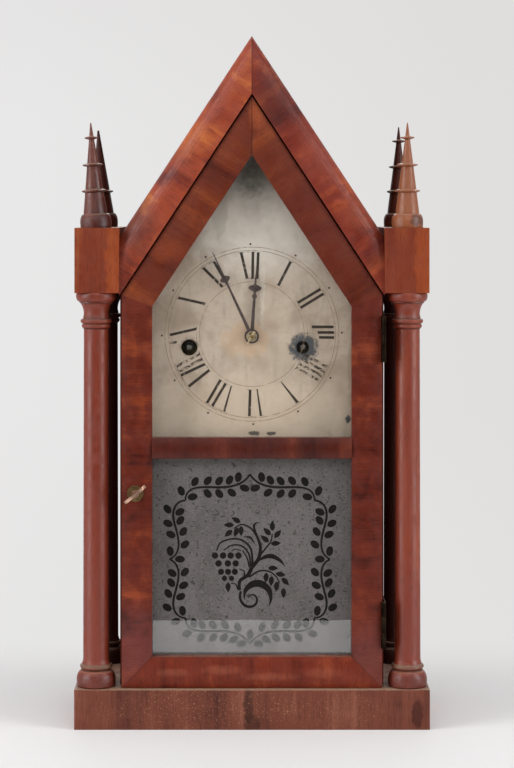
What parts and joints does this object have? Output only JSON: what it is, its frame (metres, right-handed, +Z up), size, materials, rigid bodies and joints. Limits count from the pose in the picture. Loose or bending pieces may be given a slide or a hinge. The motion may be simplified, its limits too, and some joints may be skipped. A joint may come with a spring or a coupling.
{
  "type": "double steeple shelf clock",
  "caption": "Gothic shelf clock with a steep gable, turned columns and spires, one glazed door, a painted dial and a spring driven striking movement.",
  "frame": {"origin": "centre of the base's underside", "axes": "+X to the right, +Y to the back, +Z up; the door faces -Y"},
  "size_m": [0.2606, 0.1347, 0.5094],
  "materials": {
    "mahogany": "satin",
    "pine": "matte",
    "brass": "satin",
    "steel": "satin",
    "black_iron": "satin",
    "cast_iron": "matte",
    "glass": "gloss",
    "painted_dial": "matte"
  },
  "bodies": {
    "case": {"base_front_board": "mahogany", "base_end_boards": "mahogany", "base_back_board": "mahogany", "base_top_board": "mahogany", "base_bottom_board": "pine", "case_sides": "mahogany", "roof_boards": "mahogany", "back_board": "pine", "gable_moulding_left": "mahogany", "gable_moulding_right": "mahogany", "front_columns": "mahogany", "rear_columns": "mahogany", "cornice_blocks": "mahogany", "front_spires": "mahogany", "rear_spires": "mahogany", "latch_keeper": "mahogany", "dial_cleats": "pine", "dial_plate": "painted_dial", "movement_rails": "pine", "screws": "steel", "front_plate": "brass", "back_plate": "brass", "plate_pillars": "steel", "front_studs": "steel", "time_mainspring": "steel", "strike_mainspring": "steel", "gong_coil": "steel", "gong_base": "cast_iron", "case_hinges": "brass"},
    "door": {"door_stiles": "mahogany", "door_rafters": "mahogany", "door_mid_rail": "mahogany", "door_bottom_rail": "mahogany", "upper_glass": "glass", "lower_glass": "glass", "door_hinges": "brass", "knob_plate": "brass"},
    "knob": {"door_knob": "brass"},
    "time_great": {"time_great_wheel": "brass"},
    "time_winder": {"time_winding_arbor": "steel"},
    "time_pawl": {"time_click": "steel"},
    "center": {"center_wheel": "brass", "hand_pin": "brass"},
    "third": {"third_wheel": "brass"},
    "escape": {"escape_wheel": "brass"},
    "verge_body": {"verge": "steel"},
    "pendulum": {"pendulum_rod": "steel", "pendulum_bob": "brass"},
    "minute": {"minute_arbor": "brass", "minute_hand": "black_iron"},
    "minute_pair": {"minute_wheel": "brass"},
    "hour": {"hour_wheel": "brass", "hour_hand": "black_iron"},
    "strike_great": {"strike_great_wheel": "brass"},
    "strike_winder": {"strike_winding_arbor": "steel"},
    "strike_pawl": {"strike_click": "steel"},
    "strike_second": {"strike_second_wheel": "brass"},
    "strike_third": {"strike_third_wheel": "brass"},
    "fan": {"fly": "brass"},
    "striker": {"hammer": "steel"}
  },
  "joints": [
    {"name": "door_swing", "type": "hinge", "parent": "case", "child": "door", "pos_m": [0.0969, -0.062, 0.181], "axis": [0, 0, 1], "range_deg": [0, 115]},
    {"name": "knob_turn", "type": "hinge", "parent": "door", "child": "knob", "pos_m": [-0.0856, -0.06, 0.1726], "axis": [0, -1, 0], "range_deg": [-90, 0]},
    {"name": "third_turn", "type": "hinge", "parent": "case", "child": "third", "pos_m": [-0.00456, 0, 0.31265], "axis": [0, -1, 0], "continuous": true},
    {"name": "center_turn", "type": "hinge", "parent": "case", "child": "center", "pos_m": [0, 0, 0.2868], "axis": [0, -1, 0], "continuous": true},
    {"name": "great_turn", "type": "hinge", "parent": "case", "child": "time_great", "pos_m": [0.03787, 0, 0.27834], "axis": [0, -1, 0], "continuous": true},
    {"name": "escape_turn", "type": "hinge", "parent": "case", "child": "escape", "pos_m": [-0.01174, 0, 0.33238], "axis": [0, -1, 0], "continuous": true},
    {"name": "pendulum_swing", "type": "hinge", "parent": "case", "child": "pendulum", "pos_m": [-0.01174, -0.029, 0.35688], "axis": [0, -1, 0], "range_deg": [-3.5, 3.5]},
    {"name": "verge_rock", "type": "hinge", "parent": "case", "child": "verge_body", "pos_m": [-0.01174, -0.022, 0.34888], "axis": [0, -1, 0], "range_deg": [-5, 5]},
    {"name": "time_winding", "type": "hinge", "parent": "time_great", "child": "time_winder", "pos_m": [0.03787, 0, 0.27834], "axis": [0, -1, 0], "continuous": true},
    {"name": "time_click_lift", "type": "hinge", "parent": "time_great", "child": "time_pawl", "pos_m": [0.03787, -0.015, 0.26134], "axis": [0, -1, 0], "range_deg": [-12, 0]},
    {"name": "hands_set", "type": "hinge", "parent": "case", "child": "minute", "pos_m": [0, 0, 0.2868], "axis": [0, -1, 0], "continuous": true},
    {"name": "minute_wheel_turn", "type": "hinge", "parent": "case", "child": "minute_pair", "pos_m": [0.01504, 0, 0.28133], "axis": [0, -1, 0], "continuous": true},
    {"name": "hour_turn", "type": "hinge", "parent": "case", "child": "hour", "pos_m": [0, 0, 0.2868], "axis": [0, -1, 0], "continuous": true},
    {"name": "strike_great_turn", "type": "hinge", "parent": "case", "child": "strike_great", "pos_m": [-0.0465, 0, 0.27834], "axis": [0, -1, 0], "continuous": true},
    {"name": "strike_second_turn", "type": "hinge", "parent": "case", "child": "strike_second", "pos_m": [-0.0271, 0, 0.24473], "axis": [0, -1, 0], "continuous": true},
    {"name": "strike_third_turn", "type": "hinge", "parent": "case", "child": "strike_third", "pos_m": [-0.00539, 0, 0.23683], "axis": [0, -1, 0], "continuous": true},
    {"name": "fly_turn", "type": "hinge", "parent": "case", "child": "fan", "pos_m": [0.01152, 0, 0.24299], "axis": [0, -1, 0], "continuous": true},
    {"name": "strike_winding", "type": "hinge", "parent": "strike_great", "child": "strike_winder", "pos_m": [-0.0465, 0, 0.27834], "axis": [0, -1, 0], "continuous": true},
    {"name": "strike_click_lift", "type": "hinge", "parent": "strike_great", "child": "strike_pawl", "pos_m": [-0.0465, -0.015, 0.29534], "axis": [0, -1, 0], "range_deg": [-12, 0]},
    {"name": "hammer_lift", "type": "hinge", "parent": "case", "child": "striker", "pos_m": [-0.0525, 0.01, 0.2328], "axis": [0, 1, 0], "range_deg": [0, 10]}
  ],
  "couplings": [
    {"joint": "center_turn", "follows": "third_turn", "ratio": -0.09375},
    {"joint": "great_turn", "follows": "third_turn", "ratio": 0.010417},
    {"joint": "escape_turn", "follows": "third_turn", "ratio": -9},
    {"joint": "verge_rock", "follows": "pendulum_swing", "ratio": 1.3636},
    {"joint": "minute_wheel_turn", "follows": "hands_set", "ratio": -0.33333},
    {"joint": "hour_turn", "follows": "hands_set", "ratio": 0.083333},
    {"joint": "strike_great_turn", "follows": "strike_third_turn", "ratio": 0.011111},
    {"joint": "strike_second_turn", "follows": "strike_third_turn", "ratio": -0.1},
    {"joint": "fly_turn", "follows": "strike_third_turn", "ratio": -9}
  ]
}
